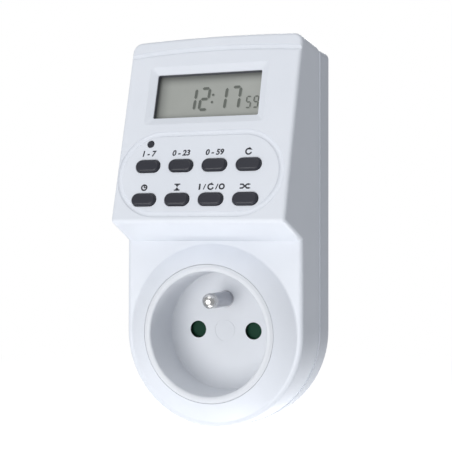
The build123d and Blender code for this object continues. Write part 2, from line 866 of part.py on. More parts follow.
# Socket cup: flange, tapered recess, floor with its holes and the skirt behind it
with BuildPart() as socket_cup:
    with BuildSketch(Plane.YZ):
        with BuildLine():
            Polyline(
                (floor_y, 0),
                (floor_y, recess_floor_r),
                (rim_y, rim_r),
                (rim_y, rim_r + rim_flat),
                (rim_y + collar_top_drop, flange_r),
                (flange_seat_y - seat_gap, flange_r),
                (flange_seat_y - seat_gap, barrel_r),
                (skirt_end_y, barrel_r),
                (skirt_end_y, skirt_inner_r),
                (cup_back_y, skirt_inner_r),
                (cup_back_y, 0),
                close=True,
            )
        make_face()
    revolve(axis=Axis.Y)
    fillet(socket_cup.edges().sort_by_distance(Vector(rim_r, rim_y, 0))[0], rim_round)
    fillet(socket_cup.edges().sort_by_distance(Vector(recess_floor_r, floor_y, 0))[0], recess_round)
    with BuildSketch(front_plane(floor_y - cut_over)):
        with Locations((-pin_x, 0), (pin_x, 0)):
            Circle(socket_hole_d / 2)
        with Locations((0, earth_rise)):
            Circle(pin_root_r + pin_hole_gap)
    extrude(amount=-(cup_floor_t + 2 * cut_over), mode=Mode.SUBTRACT)
    # Faint ring in the middle of the floor
    with BuildSketch(front_plane(floor_y + gate_mark_depth)):
        Circle(gate_mark_r)
        Circle(gate_mark_r - gate_mark_w, mode=Mode.SUBTRACT)
    extrude(amount=cut_over, mode=Mode.SUBTRACT)
    # Pivot of the shutter, peg of its spring and the stakes of the retainer
    with BuildSketch(front_plane(cup_back_y)):
        Circle(pivot_r)
        with Locations((spring_peg_x, spring_peg_z)):
            Circle(spring_peg_r)
    extrude(amount=-(retainer_front_y - cup_back_y - seat_gap))
    with BuildSketch(front_plane(cup_back_y)):
        with PolarLocations(stake_reach, stake_count, start_angle=stake_first_angle):
            Circle(stake_r)
    extrude(amount=-(retainer_back_y - cup_back_y))

save(socket_cup.part, "socket_cup")

# Shutter: two arms that cover the pin holes and turn aside on the pivot
with BuildPart() as shutter:
    with BuildSketch(front_plane(shutter_front_y)):
        Circle(shutter_hub_r)
        SlotOverall(2 * shutter_arm_reach, 2 * shutter_arm_half)
        with Locations((0, -lug_reach / 2)):
            Rectangle(2 * lug_half, lug_reach)
        Circle(pivot_r + pivot_gap, mode=Mode.SUBTRACT)
    extrude(amount=-shutter_t)
    # Ramps that the pins push on
    for side in (1, -1):
        with BuildSketch(Plane.YZ.offset(side * shutter_hub_r)):
            with BuildLine():
                Polyline(
                    (shutter_front_y - cut_over, side * (shutter_arm_half - shutter_ramp - cut_over)),
                    (shutter_front_y + shutter_ramp + cut_over, side * (shutter_arm_half + cut_over)),
                    (shutter_front_y - cut_over, side * (shutter_arm_half + cut_over)),
                    close=True,
                )
            make_face()
        extrude(amount=side * shutter_arm_reach, mode=Mode.SUBTRACT)

save(shutter.part, "shutter")

# Leaf spring of the shutter, with its eye on the peg
with BuildPart() as shutter_spring:
    with BuildSketch(front_plane(shutter_front_y)):
        with BuildLine():
            upper = SagittaArc(leaf_point(0, 1), leaf_point(1, 1), spring_sag)
            lower = SagittaArc(leaf_point(0, -1), leaf_point(1, -1), spring_sag)
            Line(upper @ 0, lower @ 0)
            Line(upper @ 1, lower @ 1)
        make_face()
        with Locations((spring_peg_x, spring_peg_z)):
            Circle(spring_eye_r)
            Circle(spring_peg_r + spring_peg_gap, mode=Mode.SUBTRACT)
    extrude(amount=-shutter_t)

save(shutter_spring.part, "shutter_spring")

# Retainer staked into the cup behind the shutter
with BuildPart() as shutter_retainer:
    with BuildSketch(front_plane(retainer_front_y)):
        Circle(skirt_inner_r - retainer_gap)
        with Locations((-pin_x, 0), (pin_x, 0)):
            Circle(retainer_hole_d / 2, mode=Mode.SUBTRACT)
        with Locations((0, earth_rise)):
            Circle(pin_root_r + pin_hole_gap, mode=Mode.SUBTRACT)
        with PolarLocations(stake_reach, stake_count, start_angle=stake_first_angle):
            Circle(stake_r + stake_gap, mode=Mode.SUBTRACT)
    extrude(amount=-retainer_t)

save(shutter_retainer.part, "shutter_retainer")

# Insulating carrier of the two contacts
with BuildPart() as contact_carrier:
    with BuildSketch(front_plane(carrier_front_y)):
        RectangleRounded(2 * carrier_half_w, 2 * carrier_half_h, carrier_corner_r)
        with Locations((-pin_x, 0), (pin_x, 0)):
            Circle(contact_r + contact_t + carrier_fit, mode=Mode.SUBTRACT)
    extrude(amount=-carrier_t)

save(contact_carrier.part, "contact_carrier")

# Live contact: slit sleeve with a short solder tail
with BuildPart() as live_contact:
    with BuildSketch(front_plane(carrier_front_y)):
        with Locations((pin_x, 0)):
            Circle(contact_r + contact_t)
            Circle(contact_r, mode=Mode.SUBTRACT)
    extrude(amount=-contact_length)
    with BuildSketch(front_plane(contact_back_y)):
        with Locations((pin_x, 0)):
            Rectangle(contact_slit, 2 * (contact_r + contact_t) + cut_over)
    extrude(amount=contact_slit_length, mode=Mode.SUBTRACT)
    with BuildSketch(front_plane(carrier_back_y + tail_gap)):
        with Locations((pin_x + tail_offset, 0)):
            Rectangle(tail_t, tail_w)
    extrude(amount=-(contact_back_y - carrier_back_y - tail_gap + live_tail_length))

save(live_contact.part, "live_contact")

# Neutral contact: slit sleeve with a long tail that is riveted to the neutral pin
with BuildPart() as neutral_contact:
    with BuildSketch(front_plane(carrier_front_y)):
        with Locations((-pin_x, 0)):
            Circle(contact_r + contact_t)
            Circle(contact_r, mode=Mode.SUBTRACT)
    extrude(amount=-contact_length)
    with BuildSketch(front_plane(contact_back_y)):
        with Locations((-pin_x, 0)):
            Rectangle(contact_slit, 2 * (contact_r + contact_t) + cut_over)
    extrude(amount=contact_slit_length, mode=Mode.SUBTRACT)
    with BuildSketch(front_plane(carrier_back_y + tail_gap)):
        with Locations((-pin_x - tail_offset, 0)):
            Rectangle(tail_t, tail_w)
    extrude(amount=-(link_back_y - carrier_back_y - tail_gap))
    with BuildSketch(front_plane(link_back_y)):
        with Locations((-pin_x, 0)):
            Circle(link_r)
            Circle(pin_stub_r + pin_hole_gap, mode=Mode.SUBTRACT)
    extrude(amount=link_t)

save(neutral_contact.part, "neutral_contact")

# Plug pins with a root in the end wall, a head behind it and a rivet stub
for name, x in (("line_pin", pin_x), ("neutral_pin", -pin_x)):
    with BuildPart() as plug_pin:
        with BuildSketch(front_plane(plug_face_y)):
            with Locations((x, 0)):
                Circle(pin_d / 2)
        extrude(amount=-pin_length)
        fillet(plug_pin.faces().sort_by(Axis.Y)[-1].edges(), pin_tip_round)
        with BuildSketch(front_plane(plug_face_y)):
            with Locations((x, 0)):
                Circle(pin_root_r)
        extrude(amount=boss_end_t + seat_gap)
        with BuildSketch(front_plane(pin_head_y)):
            with Locations((x, 0)):
                Circle(pin_head_r)
        extrude(amount=-(pin_head_t - seat_gap))
        with BuildSketch(front_plane(pin_head_y)):
            with Locations((x, 0)):
                Circle(pin_stub_r)
        extrude(amount=pin_stub_length)
    save(plug_pin.part, name)

# Plate that clamps the heads of the plug pins
with BuildPart() as pin_retainer:
    with BuildSketch(front_plane(pin_plate_back_y)):
        Circle(pin_plate_r)
        with Locations((-pin_x, 0), (pin_x, 0)):
            Circle(pin_stub_r + pin_plate_gap, mode=Mode.SUBTRACT)
        with Locations((0, earth_rise)):
            Circle(sleeve_r + sleeve_t + sleeve_gap, mode=Mode.SUBTRACT)
    extrude(amount=pin_plate_t)

save(pin_retainer.part, "pin_retainer")

# Earth strip: one bent spring strip with the two side clips of the plug
with BuildPart() as earth_strip:
    with BuildSketch(Plane.YZ):
        with Locations((earth_strip_front_y + earth_strip_t / 2, 0)):
            Rectangle(earth_strip_t, 2 * clip_z + earth_strip_t)
        with Locations((clip_arm_mid_y, clip_z), (clip_arm_mid_y, -clip_z)):
            Rectangle(rear_y - earth_strip_front_y, earth_strip_t)
        for side in (1, -1):
            with BuildLine():
                outer = ThreePointArc(*[clip_point(share, 1, side) for share in clip_shares])
                inner = ThreePointArc(*[clip_point(share, -1, side) for share in clip_shares])
                Line(outer @ 0, inner @ 0)
                Line(outer @ 1, inner @ 1)
            make_face()
    extrude(amount=earth_strip_w / 2, both=True)

save(earth_strip.part, "earth_strip")

# Earth sleeve of the plug, open towards the wall
with BuildPart() as plug_earth_contact:
    with BuildSketch(front_plane(earth_strip_back_y + seat_gap)):
        with Locations((0, earth_rise)):
            Circle(sleeve_r + sleeve_t)
    extrude(amount=-(sleeve_mouth_y - earth_strip_back_y - seat_gap))
    with BuildSketch(front_plane(earth_strip_back_y + sleeve_floor)):
        with Locations((0, earth_rise)):
            Circle(sleeve_r)
    extrude(amount=-(sleeve_mouth_y - earth_strip_back_y - sleeve_floor + cut_over), mode=Mode.SUBTRACT)

save(plug_earth_contact.part, "plug_earth_contact")

# Earth pin of the socket, riveted to the earth strip
with BuildPart() as socket_earth_pin:
    with BuildSketch(front_plane(floor_y)):
        with Locations((0, earth_rise)):
            Circle(pin_d / 2)
    extrude(amount=earth_pin_reach)
    fillet(socket_earth_pin.faces().sort_by(Axis.Y)[0].edges(), pin_tip_round)
    with BuildSketch(front_plane(floor_y)):
        with Locations((0, earth_rise)):
            Circle(pin_root_r)
    extrude(amount=-(earth_strip_front_y - seat_gap - floor_y))

save(socket_earth_pin.part, "socket_earth_pin")

# Display glass
with BuildPart() as display_glass:
    with BuildSketch(panel_plane(display_depth)):
        with Locations((panel_shift, window_s)):
            Rectangle(glass_w, glass_h)
    extrude(amount=-glass_t)

save(display_glass.part, "display_glass")

# Dark frame that holds the display glass against the window
with BuildPart() as display_frame:
    with BuildSketch(panel_plane(frame_front)):
        with Locations((panel_shift, window_s)):
            Rectangle(frame_w, frame_h)
            RectangleRounded(window_w, window_h, window_corner_r, mode=Mode.SUBTRACT)
    extrude(amount=-(board_depth - seat_gap - frame_front))
    with BuildSketch(panel_plane(display_depth - seat_gap)):
        with Locations((panel_shift, window_s)):
            Rectangle(glass_w + 2 * frame_gap, glass_h + 2 * frame_gap)
    extrude(amount=-board_depth, mode=Mode.SUBTRACT)

save(display_frame.part, "display_frame")

# Rubber strip that joins the glass to the control board
with BuildPart() as zebra_strip:
    with BuildSketch(panel_plane(display_depth + glass_t + seat_gap)):
        with Locations((panel_shift, window_s - glass_h / 2 + zebra_inset + zebra_t / 2)):
            Rectangle(glass_w, zebra_t)
    extrude(amount=-(board_depth - display_depth - glass_t - 2 * seat_gap))

save(zebra_strip.part, "zebra_strip")

# Control board behind the panel
with BuildPart() as control_board:
    with BuildSketch(panel_plane(board_depth)):
        with Locations((0, (board_low_s + board_high_s) / 2)):
            Rectangle(2 * board_half, board_high_s - board_low_s)
        with Locations((-board_half, board_high_s), (board_half, board_high_s)):
            Rectangle(2 * board_corner_w, 2 * board_corner_h, mode=Mode.SUBTRACT)
        with Locations(panel_post_spots()):
            Circle(small_screw_r + shank_gap, mode=Mode.SUBTRACT)
    extrude(amount=-board_t)

save(control_board.part, "control_board")

# Screws of the control board
with BuildPart() as panel_screws:
    with BuildSketch(panel_plane(board_back + seat_gap)):
        with Locations(panel_post_spots()):
            Circle(small_screw_r)
    extrude(amount=panel_screw_length)
    with BuildSketch(panel_plane(board_back + seat_gap)):
        with Locations(panel_post_spots()):
            Circle(small_head_r)
    extrude(amount=-small_head_t)

save(panel_screws.part, "panel_screws")

# Controller under its round drop of resin, on the back of the control board
with BuildPart() as controller_chip:
    with BuildSketch(panel_plane(board_back + seat_gap)):
        with Locations((chip_x, chip_s)):
            Circle(chip_r)
    extrude(amount=-chip_h)
    chip_foot = panel_point(chip_x, chip_s, board_back)
    fillet(controller_chip.edges().sort_by_distance(chip_foot)[-1], chip_h * chip_round_share)

save(controller_chip.part, "controller_chip")

# Clock crystal in its can, lying on the control board
with BuildPart() as clock_crystal:
    with BuildSketch(crystal_plane):
        Circle(crystal_r)
    extrude(amount=crystal_length)

save(clock_crystal.part, "clock_crystal")

# Rubber keypad sheet with a dome under every key
with BuildPart() as keypad_sheet:
    with BuildSketch(panel_plane(board_depth - seat_gap)):
        with Locations((panel_shift, (sheet_low_s + sheet_high_s) / 2)):
            Rectangle(sheet_w, sheet_high_s - sheet_low_s)
    extrude(amount=sheet_t)
    with BuildSketch(panel_plane(sheet_top)):
        with Locations(key_spots()):
            Circle(dome_low_r)
    extrude(amount=sheet_top - dome_top, taper=dome_taper)
    with BuildSketch(panel_plane(sheet_top)):
        with Locations((key_first_x, reset_s)):
            Circle(reset_dome_r)
    extrude(amount=sheet_top - dome_top)

save(keypad_sheet.part, "keypad_sheet")

# Keys: obround caps with a flange behind the panel and a short stem
for name, spot in zip(key_names, key_spots()):
    with BuildPart() as key:
        with BuildSketch(panel_plane(key_flange_low)):
            with Locations(spot):
                SlotOverall(key_w, key_h)
        extrude(amount=key_flange_low + key_proud)
        fillet(key.faces().sort_by(Axis((0, 0, 0), panel_plane(0).z_dir))[-1].edges(), key_round)
        with BuildSketch(panel_plane(key_flange_low)):
            with Locations(spot):
                SlotOverall(key_w + 2 * key_flange, key_h + 2 * key_flange)
        extrude(amount=key_flange_t)
        with BuildSketch(panel_plane(key_bottom)):
            with Locations(spot):
                Circle(key_stem_r)
        extrude(amount=key_stem_length)
    save(key.part, name)

# Reset key, sunk in its hole
with BuildPart() as reset_key:
    with BuildSketch(panel_plane(key_bottom)):
        with Locations((key_first_x, reset_s)):
            Circle(reset_key_d / 2)
    extrude(amount=key_bottom - reset_sink)
    with BuildSketch(panel_plane(key_flange_low)):
        with Locations((key_first_x, reset_s)):
            Circle(reset_flange_r)
    extrude(amount=key_flange_t)

save(reset_key.part, "reset_key")

# Power board
with BuildPart() as power_board:
    with BuildSketch(front_plane(power_back_y)):
        with Locations((0, (power_low_z + power_high_z) / 2)):
            Rectangle(2 * power_half, power_high_z - power_low_z)
        with Locations(power_post_spots()):
            Circle(small_screw_r + shank_gap, mode=Mode.SUBTRACT)
    extrude(amount=power_t)

save(power_board.part, "power_board")

# Screws of the power board
with BuildPart() as board_screws:
    with BuildSketch(front_plane(power_front_y - seat_gap)):
        with Locations(power_post_spots()):
            Circle(small_screw_r)
    extrude(amount=-small_screw_length)
    with BuildSketch(front_plane(power_front_y - seat_gap)):
        with Locations(power_post_spots()):
            Circle(small_head_r)
    extrude(amount=small_head_t)

save(board_screws.part, "board_screws")

# Relay
with BuildPart() as relay:
    with BuildSketch(front_plane(part_y)):
        with Locations((relay_x, relay_z)):
            RectangleRounded(relay_w, relay_h, relay_round)
    extrude(amount=relay_rise)
    fillet(relay.faces().sort_by(Axis.Y)[0].edges(), relay_round)

save(relay.part, "relay")

# Film capacitor
with BuildPart() as film_capacitor:
    with BuildSketch(front_plane(part_y)):
        with Locations((film_x, film_z)):
            RectangleRounded(film_w, film_h, film_round)
    extrude(amount=film_rise)
    fillet(film_capacitor.faces().sort_by(Axis.Y)[0].edges(), film_round)

save(film_capacitor.part, "film_capacitor")

# Smoothing capacitor, lying on the power board
with BuildPart() as smoothing_capacitor:
    with BuildSketch(Plane.YZ.offset(can_x - can_length / 2)):
        with Locations((part_y - can_r, can_z)):
            Circle(can_r)
    extrude(amount=can_length)
    fillet(smoothing_capacitor.edges().filter_by(GeomType.CIRCLE), can_round)
    with BuildSketch(Plane.YZ.offset(can_x - can_length / 2 + can_groove_inset)):
        with Locations((part_y - can_r, can_z)):
            Circle(can_r + cut_over)
            Circle(can_r - can_groove, mode=Mode.SUBTRACT)
    extrude(amount=can_groove_w, mode=Mode.SUBTRACT)

save(smoothing_capacitor.part, "smoothing_capacitor")

# Backup battery: round cell lying flat
with BuildPart() as backup_battery:
    with BuildSketch(front_plane(part_y)):
        with Locations((cell_x, cell_z)):
            Circle(cell_r)
    extrude(amount=cell_t)
    chamfer(backup_battery.faces().sort_by(Axis.Y)[0].edges(), cell_rim)

save(backup_battery.part, "backup_battery")

# Bridge rectifier with its key notch
with BuildPart() as bridge_rectifier:
    with BuildSketch(front_plane(part_y)):
        with Locations((bridge_x, bridge_z)):
            Rectangle(bridge_w, bridge_h)
        with Locations((bridge_x - bridge_w / 2, bridge_z)):
            Circle(bridge_notch_r, mode=Mode.SUBTRACT)
    extrude(amount=bridge_rise)

save(bridge_rectifier.part, "bridge_rectifier")

# Limiting resistor, lying on the power board
with BuildPart() as limiting_resistor:
    with BuildSketch(Plane.YZ.offset(resistor_x - resistor_length / 2)):
        with Locations((part_y - resistor_r, resistor_z)):
            Circle(resistor_r)
    extrude(amount=resistor_length)
    with BuildSketch(Plane.YZ.offset(resistor_x - resistor_length / 2 * resistor_waist_share)):
        with Locations((part_y - resistor_r, resistor_z)):
            Circle(resistor_r + cut_over)
            Circle(resistor_r - resistor_waist, mode=Mode.SUBTRACT)
    extrude(amount=resistor_length * resistor_waist_share, mode=Mode.SUBTRACT)

save(limiting_resistor.part, "limiting_resistor")

# Varistor: coated disc standing on the power board
with BuildPart() as varistor:
    with BuildSketch(Plane.YZ.offset(varistor_x - varistor_t / 2)):
        with Locations((part_y - varistor_r, varistor_z)):
            Circle(varistor_r)
    extrude(amount=varistor_t)
    fillet(varistor.edges().filter_by(GeomType.CIRCLE), varistor_round)

save(varistor.part, "varistor")

# Ribbon cable from the power board to the control board
with BuildPart() as ribbon_cable:
    with BuildSketch(Plane.YZ.offset(ribbon_x)):
        with BuildLine():
            FilletPolyline(*ribbon_points, radius=ribbon_bend_r)
            offset(amount=ribbon_t / 2, side=Side.BOTH)
        make_face()
    extrude(amount=ribbon_w / 2, both=True)

save(ribbon_cable.part, "ribbon_cable")

# Mains wires from the pins and contacts up to the power board
for name, points in wire_courses.items():
    with BuildPart() as wire:
        with BuildLine() as course:
            FilletPolyline(*points, radius=wire_bend_r)
        with BuildSketch(Plane(origin=course.line @ 0, z_dir=course.line % 0)):
            Circle(wire_r)
        sweep(path=course.wire())
    save(wire.part, name)
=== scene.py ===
import math

import bpy
from mathutils import Euler, Matrix, Vector


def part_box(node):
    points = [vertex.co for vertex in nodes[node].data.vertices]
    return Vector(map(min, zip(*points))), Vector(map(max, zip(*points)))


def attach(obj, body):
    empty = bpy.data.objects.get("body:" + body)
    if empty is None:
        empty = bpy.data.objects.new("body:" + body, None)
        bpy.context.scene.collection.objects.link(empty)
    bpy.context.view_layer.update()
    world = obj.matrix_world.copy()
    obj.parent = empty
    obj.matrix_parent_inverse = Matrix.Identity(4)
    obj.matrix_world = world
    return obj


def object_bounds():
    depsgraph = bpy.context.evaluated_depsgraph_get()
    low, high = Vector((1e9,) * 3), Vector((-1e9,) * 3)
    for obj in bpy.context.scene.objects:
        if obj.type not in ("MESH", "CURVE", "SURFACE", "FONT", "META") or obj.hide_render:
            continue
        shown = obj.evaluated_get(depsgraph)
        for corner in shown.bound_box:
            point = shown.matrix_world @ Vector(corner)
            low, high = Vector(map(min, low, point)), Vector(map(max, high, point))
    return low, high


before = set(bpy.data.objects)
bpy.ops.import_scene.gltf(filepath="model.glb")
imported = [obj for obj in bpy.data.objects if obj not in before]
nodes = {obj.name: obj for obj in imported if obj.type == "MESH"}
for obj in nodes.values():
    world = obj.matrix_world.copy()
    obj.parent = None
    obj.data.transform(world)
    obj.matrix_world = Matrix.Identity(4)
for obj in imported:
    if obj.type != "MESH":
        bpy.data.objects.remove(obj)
solid_low, solid_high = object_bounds()

# Front housing: the front half of the case with the sloped control panel, the
# ledge under it and the round collar. White styrene plastic, injection moulded
# in one shot with a fine matt skin, held to the rear cover by four screws.


class Tap:
    # One output of a shader node; sums on it add Math nodes

    def __init__(self, tree, socket=None):
        self.tree = tree
        self.socket = socket

    def node(self, kind, settings=None, sockets=None, out=0):
        # Adds a node: its settings first, then the values or links of its sockets
        made = self.tree.nodes.new("ShaderNode" + kind)
        for key, value in (settings or {}).items():
            if key == "stops":
                ramp = made.color_ramp.elements
                while len(ramp) < len(value):
                    ramp.new(1.0)
                for stop, (place, colour) in zip(ramp, value):
                    stop.position, stop.color = place, colour
            else:
                setattr(made, key, value)
        for key, value in (sockets or {}).items():
            if isinstance(value, Tap):
                self.tree.links.new(value.socket, made.inputs[key])
            else:
                made.inputs[key].default_value = value
        return Tap(self.tree, made.outputs[out] if len(made.outputs) else None)

    def sum(self, operation, first, second):
        return self.node("Math", {"operation": operation}, {0: first, 1: second})

    def __add__(self, other):
        return self.sum("ADD", self, other)

    def __radd__(self, other):
        return self.sum("ADD", other, self)

    def __sub__(self, other):
        return self.sum("SUBTRACT", self, other)

    def __rsub__(self, other):
        return self.sum("SUBTRACT", other, self)

    def __mul__(self, other):
        return self.sum("MULTIPLY", self, other)

    def __rmul__(self, other):
        return self.sum("MULTIPLY", other, self)

    def __truediv__(self, other):
        return self.sum("DIVIDE", self, other)

    def __rtruediv__(self, other):
        return self.sum("DIVIDE", other, self)

    def __lt__(self, other):
        return self.sum("LESS_THAN", self, other)

    def __gt__(self, other):
        return self.sum("GREATER_THAN", self, other)


def tint(code):
    # Linear colour of a paint written as six hex digits
    parts = [int(code[i:i + 2], 16) / 255 for i in (0, 2, 4)]
    return tuple(p / 12.92 if p <= 0.04045 else ((p + 0.055) / 1.055) ** 2.4 for p in parts) + (1.0,)


def new_finish(name):
    # An empty material, the bench that its nodes are made on, and the place on the piece
    finish = bpy.data.materials.new(name)
    finish.use_nodes = True
    finish.node_tree.nodes.clear()
    bench = Tap(finish.node_tree)
    return finish, bench, bench.node("TexCoord", out="Object")


def noise(bench, place, scale, detail, roughness=0.5):
    # Cloudy shares about one half, finer with more detail
    sockets = {"Vector": place, "Scale": scale, "Detail": detail, "Roughness": roughness}
    return bench.node("TexNoise", sockets=sockets)


def blended(bench, share, first, second):
    # Colour that goes from first to second as share goes from 0 to 1
    return bench.node("Mix", {"data_type": "RGBA"}, {0: share, 6: first, 7: second}, out=2)


def bump(bench, strength, distance, height):
    return bench.node("Bump", sockets={"Strength": strength, "Distance": distance, "Height": height})


def coat(bench, sockets):
    # Closes a finish with its surface shader
    shader = bench.node("BsdfPrincipled", sockets=sockets)
    bench.node("OutputMaterial", sockets={"Surface": shader})


def dress(finish, *names):
    # Gives CAD nodes their finish
    for name in names:
        mesh = nodes[name].data
        mesh.materials.clear()
        mesh.materials.append(finish)


def moulded(name, dark, pale, rough, grain, bite, specular=0.5, mark=None):
    # Injection-moulded plastic: slow flow clouds, a fine matt skin and faint rub marks.
    # Mark may give a mask from the place on the piece, and the tint painted there as shade.
    flow_scale, skin_depth = 45.0, 0.00004
    rub_turn, rub_scale = (0.3, 0.5, 0.9), (40.0, 900.0, 60.0)
    finish, bench, spot = new_finish(name)
    cloud = noise(bench, spot, flow_scale, 3.0, 0.6)
    skin = noise(bench, spot, grain, 2.0, 0.7)
    drawn = bench.node("Mapping", sockets={"Vector": spot, "Rotation": rub_turn, "Scale": rub_scale})
    rub = noise(bench, drawn, 1.0, 4.0, 0.65)
    colour = blended(bench, cloud * 0.8 + skin * 0.2, tint(dark), tint(pale))
    if mark:
        where, shade_tint = mark
        colour = blended(bench, where(bench, spot), colour, tint(shade_tint))
    coat(bench, {
        "Base Color": colour,
        "Roughness": rough + (cloud - 0.5) * 0.12 + (rub - 0.5) * 0.16,
        "Normal": bump(bench, bite, skin_depth, skin),
        "Specular IOR Level": specular,
    })
    return finish


dress(moulded("white_case_plastic", "e4e8ef", "eff2f8", 0.42, 5200.0, 0.12), "front_housing")

# Rear cover: the back half of the case with the plug boss on it. The same
# white plastic from another mould, a shade greyer, closed on the lip of the
# front housing.

dress(moulded("white_cover_plastic", "d6dae1", "e2e5ec", 0.46, 4300.0, 0.16), "rear_cover")

# Case screws: four steel screws with zinc on them, driven from the back
# through wells in the rear cover into posts of the front housing.


def eased(bench, value, start, end):
    # Share that rises smoothly from 0 at start to 1 at end
    sockets = {"Value": value, "From Min": start, "From Max": end}
    return bench.node("MapRange", {"interpolation_type": "SMOOTHSTEP"}, sockets)


def turned(name, dark, pale, rough, ring, centre, along, root_darkening=None):
    # Turned or plated metal: fine tool rings round its axis, cloudy plating and small stains.
    # The last argument gives where along the axis the metal starts to darken and roughen and where it is
    # fully so, and the darker tint, a painted shade towards the root.
    plating_scale, ring_waver, ring_depth = 320.0, 6.0, 0.00002
    finish, bench, spot = new_finish(name)
    away = bench.node("VectorMath", {"operation": "SUBTRACT"}, {0: spot, 1: centre})
    flat = bench.node("VectorMath", {"operation": "MULTIPLY"}, {0: away, 1: tuple(1.0 - a for a in along)})
    reach = bench.node("VectorMath", {"operation": "LENGTH"}, {0: flat}, out="Value")
    depth = bench.node("VectorMath", {"operation": "DOT_PRODUCT"}, {0: away, 1: along}, out="Value")
    cloud = noise(bench, spot, plating_scale, 4.0, 0.6)
    lathe = bench.node("Math", {"operation": "SINE"}, {0: (reach + depth) * ring + cloud * ring_waver})
    colour = blended(bench, cloud, tint(dark), tint(pale))
    polish = rough + (cloud - 0.5) * 0.25 + lathe * 0.02
    if root_darkening:
        bright, dull, grey = root_darkening
        root_darkening_share = eased(bench, depth, bright, dull)
        colour = blended(bench, root_darkening_share, colour, tint(grey))
        polish = polish + root_darkening_share * 0.3
    coat(bench, {
        "Base Color": colour,
        "Metallic": 1.0,
        "Roughness": polish,
        "Normal": bump(bench, 0.12, ring_depth, lathe),
    })
    return finish


backwards, socket_middle = (0.0, 1.0, 0.0), (0.0, 0.0, 0.0)
case_zinc = turned("zinc_screw_steel", "8f9196", "c2c5ca", 0.34, 42000.0, socket_middle, backwards)
dress(case_zinc, "case_screws")

# Socket cup: the round recess that takes a plug, moulded in the same white
# plastic with a smoother skin, pushed into the collar up to its flange.

cup_floor = -0.0309
pin_hole_x, pin_hole_r = 0.0095, 0.00275
hole_lip, hole_wall_share = 0.00004, 1.04


def coordinate(bench, spot, axis):
    return bench.node("SeparateXYZ", sockets={0: spot}, out=axis)


def painted_hole_shade(bench, spot):
    # Mask of the walls of the two pin holes, where a dark shade is painted
    up = coordinate(bench, spot, "Z")
    aside = bench.node("Math", {"operation": "ABSOLUTE"}, {0: coordinate(bench, spot, "X")}) - pin_hole_x
    within = aside * aside + up * up < (pin_hole_r * hole_wall_share) ** 2
    return within * (coordinate(bench, spot, "Y") > cup_floor + hole_lip)


# The walls of the pin holes get a painted shade, a near-black green.
cup_plastic = moulded("white_cup_plastic", "e0e3e8", "eaecf0", 0.4, 5200.0, 0.06, specular=0.25,
                      mark=(painted_hole_shade, "14211c"))
dress(cup_plastic, "socket_cup")

# Shutter: a green leaf behind the pin holes that a plug turns aside, with its
# steel leaf spring and the natural plastic disc that holds it in the cup.


def strip_metal(name, dark, pale, rough, run):
    # Rolled strip: long fine rolling lines along one direction and a cloudy oxide tone
    oxide_scale, line_depth = 210.0, 0.00002
    finish, bench, spot = new_finish(name)
    lines = bench.node("Mapping", sockets={"Vector": spot, "Scale": run})
    roll = noise(bench, lines, 1.0, 4.0, 0.7)
    cloud = noise(bench, spot, oxide_scale, 3.0)
    coat(bench, {
        "Base Color": blended(bench, cloud * 0.7 + roll * 0.3, tint(dark), tint(pale)),
        "Metallic": 1.0,
        "Roughness": rough + (roll - 0.5) * 0.2,
        "Normal": bump(bench, 0.1, line_depth, roll),
    })
    return finish


dress(moulded("green_shutter_plastic", "12392a", "1b4834", 0.5, 3600.0, 0.1, specular=0.1), "shutter")
dress(strip_metal("spring_steel", "6d7076", "a4a8ae", 0.3, (300.0, 4000.0, 300.0)), "shutter_spring")
natural = moulded("natural_insulator", "cfc8b4", "dfd9c8", 0.45, 3000.0, 0.1)
dress(natural, "shutter_retainer", "contact_carrier", "pin_retainer")

# Contacts: stamped brass clips behind the pin holes, the earth strip with its
# side clips, and the turned pins, brass with a bright nickel plate.

earth_pin_middle = (0.0, 0.0, 0.010)
# The earth pin gets darker and rougher from its tip towards the root; the darker tint is painted shade.
earth_pin_root_darkening = (-0.0452, -0.0420, "bfc0c5")

brass = strip_metal("contact_brass", "8f6f34", "c39c55", 0.28, (250.0, 3600.0, 250.0))
dress(brass, "live_contact", "neutral_contact", "earth_strip", "plug_earth_contact")
plug_nickel = turned("plug_pin_nickel", "a9a7a3", "d3d1cd", 0.2, 36000.0, socket_middle, backwards)
dress(plug_nickel, "line_pin", "neutral_pin")
earth_nickel = turned("earth_pin_nickel", "c9c7c5", "f2f1ef", 0.24, 40000.0, earth_pin_middle, backwards,
                      root_darkening=earth_pin_root_darkening)
dress(earth_nickel, "socket_earth_pin")

# Display: a liquid crystal glass in a dark frame behind the window, on a
# striped rubber connector. The grey-green film under it is slightly mottled,
# with painted shadow along its left and upper edges; the digits throw a faint painted shadow on it.

panel_tilt = math.radians(16.1)
panel_low_y, panel_low_z = -56.2, 34.35
glass_depth = 2.9
painted_shade_left, painted_shade_top = (-0.0205, -0.0140), (0.0818, 0.0772)
digit_rights = (("1", -5.18), ("2", -0.75), ("1", 5.06), ("7", 9.62))
second_rights = (("5", 13.1), ("9", 15.55))
colon_dots, colon_r = ((0.0, 42.35), (-0.15, 39.9)), 0.42
digit_lean = 0.45 / 8.0
bar_gap, bar_gap_share = 0.04, 0.06 / 0.7
digit_height, shade_height = 0.04, 0.02
shade_across, shade_down = 0.24, -0.2


def on_panel(x, s, lift):
    # Row frame point of a place on the panel, in millimetres across, up the slope and out of it
    y = panel_low_y + s * math.sin(panel_tilt) - lift * math.cos(panel_tilt)
    z = panel_low_z + s * math.cos(panel_tilt) + lift * math.sin(panel_tilt)
    return Vector((x, y, z)) / 1000


